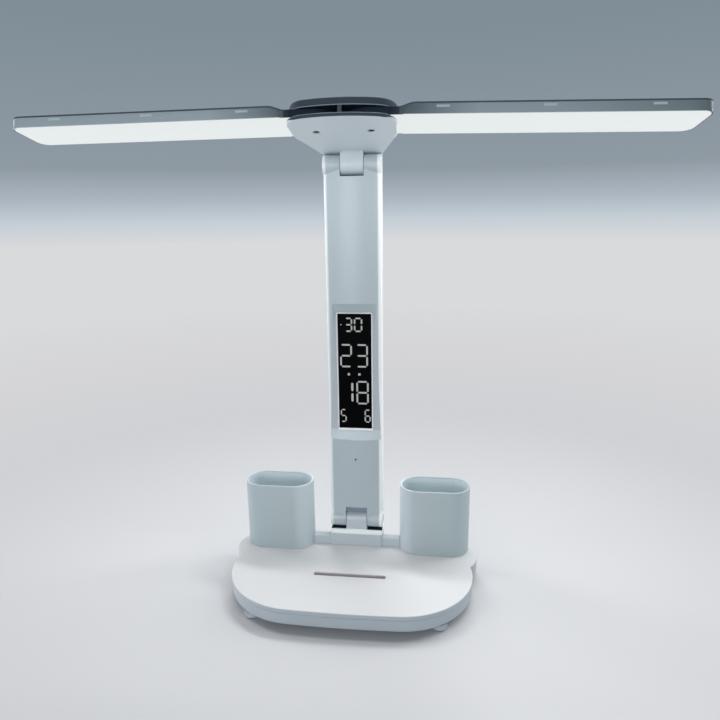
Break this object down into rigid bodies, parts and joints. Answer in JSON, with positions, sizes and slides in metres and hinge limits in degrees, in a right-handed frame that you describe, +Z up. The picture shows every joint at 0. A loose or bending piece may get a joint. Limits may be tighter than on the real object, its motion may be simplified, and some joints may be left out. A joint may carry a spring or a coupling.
{
  "type": "led desk lamp",
  "caption": "Rechargeable desk lamp with a folding clock column, a tilting head with swinging light wings, pen cups and a phone slot in the base.",
  "frame": {"origin": "on the table under the middle of the base, midway between its front and rear edges", "axes": "+X towards the right wing, +Y towards the rear, +Z up"},
  "size_m": [0.5027, 0.126, 0.3954],
  "materials": {
    "base_top_plastic": "satin moulded, pale grey",
    "base_side_plastic": "satin moulded, pale grey",
    "cup_plastic": "fine matt moulded grey",
    "column_plastic": "satin moulded grey",
    "head_plastic": "satin moulded grey",
    "head_top_plastic": "satin moulded, dark slate grey",
    "smoked_lens": "polished, dark smoked",
    "display_black": "matt",
    "diffuser_plastic": "opal, fine matt",
    "button_plastic": "satin moulded grey",
    "light_pipe": "clear moulded",
    "foot_rubber": "matt",
    "screw_steel": "zinc plated",
    "pin_steel": "ground",
    "socket_steel": "plated sheet",
    "washer_nylon": "plain",
    "ballast_iron": "rolled plate",
    "battery_wrap": "foil pouch",
    "circuit_board": "solder mask",
    "switch_black": "plain",
    "touch_copper": "foil",
    "loom_black": "flat wires",
    "led_board_white": "white coated",
    "led_phosphor": "plain"
  },
  "bodies": {
    "base": {"base_top_cover": "base_top_plastic", "base_bottom_cover": "base_side_plastic", "ballast_plate": "ballast_iron", "battery_pack": "battery_wrap", "main_board": "circuit_board", "usb_socket": "socket_steel", "left_pen_cup": "cup_plastic", "right_pen_cup": "cup_plastic", "cup_screws": "screw_steel", "base_screws": "screw_steel", "foot_pads": "foot_rubber", "hinge_block": "cup_plastic", "block_screws": "screw_steel", "lower_hinge_pin": "pin_steel", "lower_hinge_washers": "washer_nylon"},
    "column": {"column_front_cover": "column_plastic", "column_rear_cover": "column_plastic", "clock_lens": "smoked_lens", "digit_display": "display_black", "clock_board": "circuit_board", "button_switches": "switch_black", "touch_plate": "touch_copper", "touch_light": "light_pipe", "column_screws": "screw_steel", "column_loom": "loom_black", "lower_hinge_caps": "column_plastic", "upper_hinge_caps": "column_plastic"},
    "mode_button": {"mode_button": "button_plastic"},
    "up_button": {"up_button": "button_plastic"},
    "down_button": {"down_button": "button_plastic"},
    "head": {"hub_lower_cover": "head_plastic", "hub_top_cover": "head_top_plastic", "upper_hinge_pin": "pin_steel", "upper_hinge_washers": "washer_nylon", "pivot_bushes": "washer_nylon", "pivot_screws": "screw_steel", "friction_discs": "washer_nylon"},
    "left_wing": {"left_wing_housing": "head_plastic", "left_diffuser": "diffuser_plastic", "left_led_board": "led_board_white", "left_led_chips": "led_phosphor"},
    "right_wing": {"right_wing_housing": "head_plastic", "right_diffuser": "diffuser_plastic", "right_led_board": "led_board_white", "right_led_chips": "led_phosphor"}
  },
  "joints": [
    {"name": "column_fold", "type": "hinge", "parent": "base", "child": "column", "pos_m": [0, 0.046, 0.0436], "axis": [1, 0, 0], "range_deg": [-20, 90]},
    {"name": "head_tilt", "type": "hinge", "parent": "column", "child": "head", "pos_m": [0, 0.046, 0.355], "axis": [1, 0, 0], "range_deg": [-45, 103]},
    {"name": "left_wing_swing", "type": "hinge", "parent": "head", "child": "left_wing", "pos_m": [-0.0201, -0.00352, 0.36634], "axis": [0, 0.2233, 0.9748], "range_deg": [0, 91]},
    {"name": "right_wing_swing", "type": "hinge", "parent": "head", "child": "right_wing", "pos_m": [0.0201, -0.00352, 0.36634], "axis": [0, -0.2233, -0.9748], "range_deg": [0, 92.8]},
    {"name": "mode_button_press", "type": "slide", "parent": "column", "child": "mode_button", "axis": [0, -1, 0], "range_m": [0, 0.0007], "stiffness_N_per_m": 400, "springref_m": -0.0005},
    {"name": "up_button_press", "type": "slide", "parent": "column", "child": "up_button", "axis": [0, -1, 0], "range_m": [0, 0.0007], "stiffness_N_per_m": 400, "springref_m": -0.0005},
    {"name": "down_button_press", "type": "slide", "parent": "column", "child": "down_button", "axis": [0, -1, 0], "range_m": [0, 0.0007], "stiffness_N_per_m": 400, "springref_m": -0.0005}
  ]
}
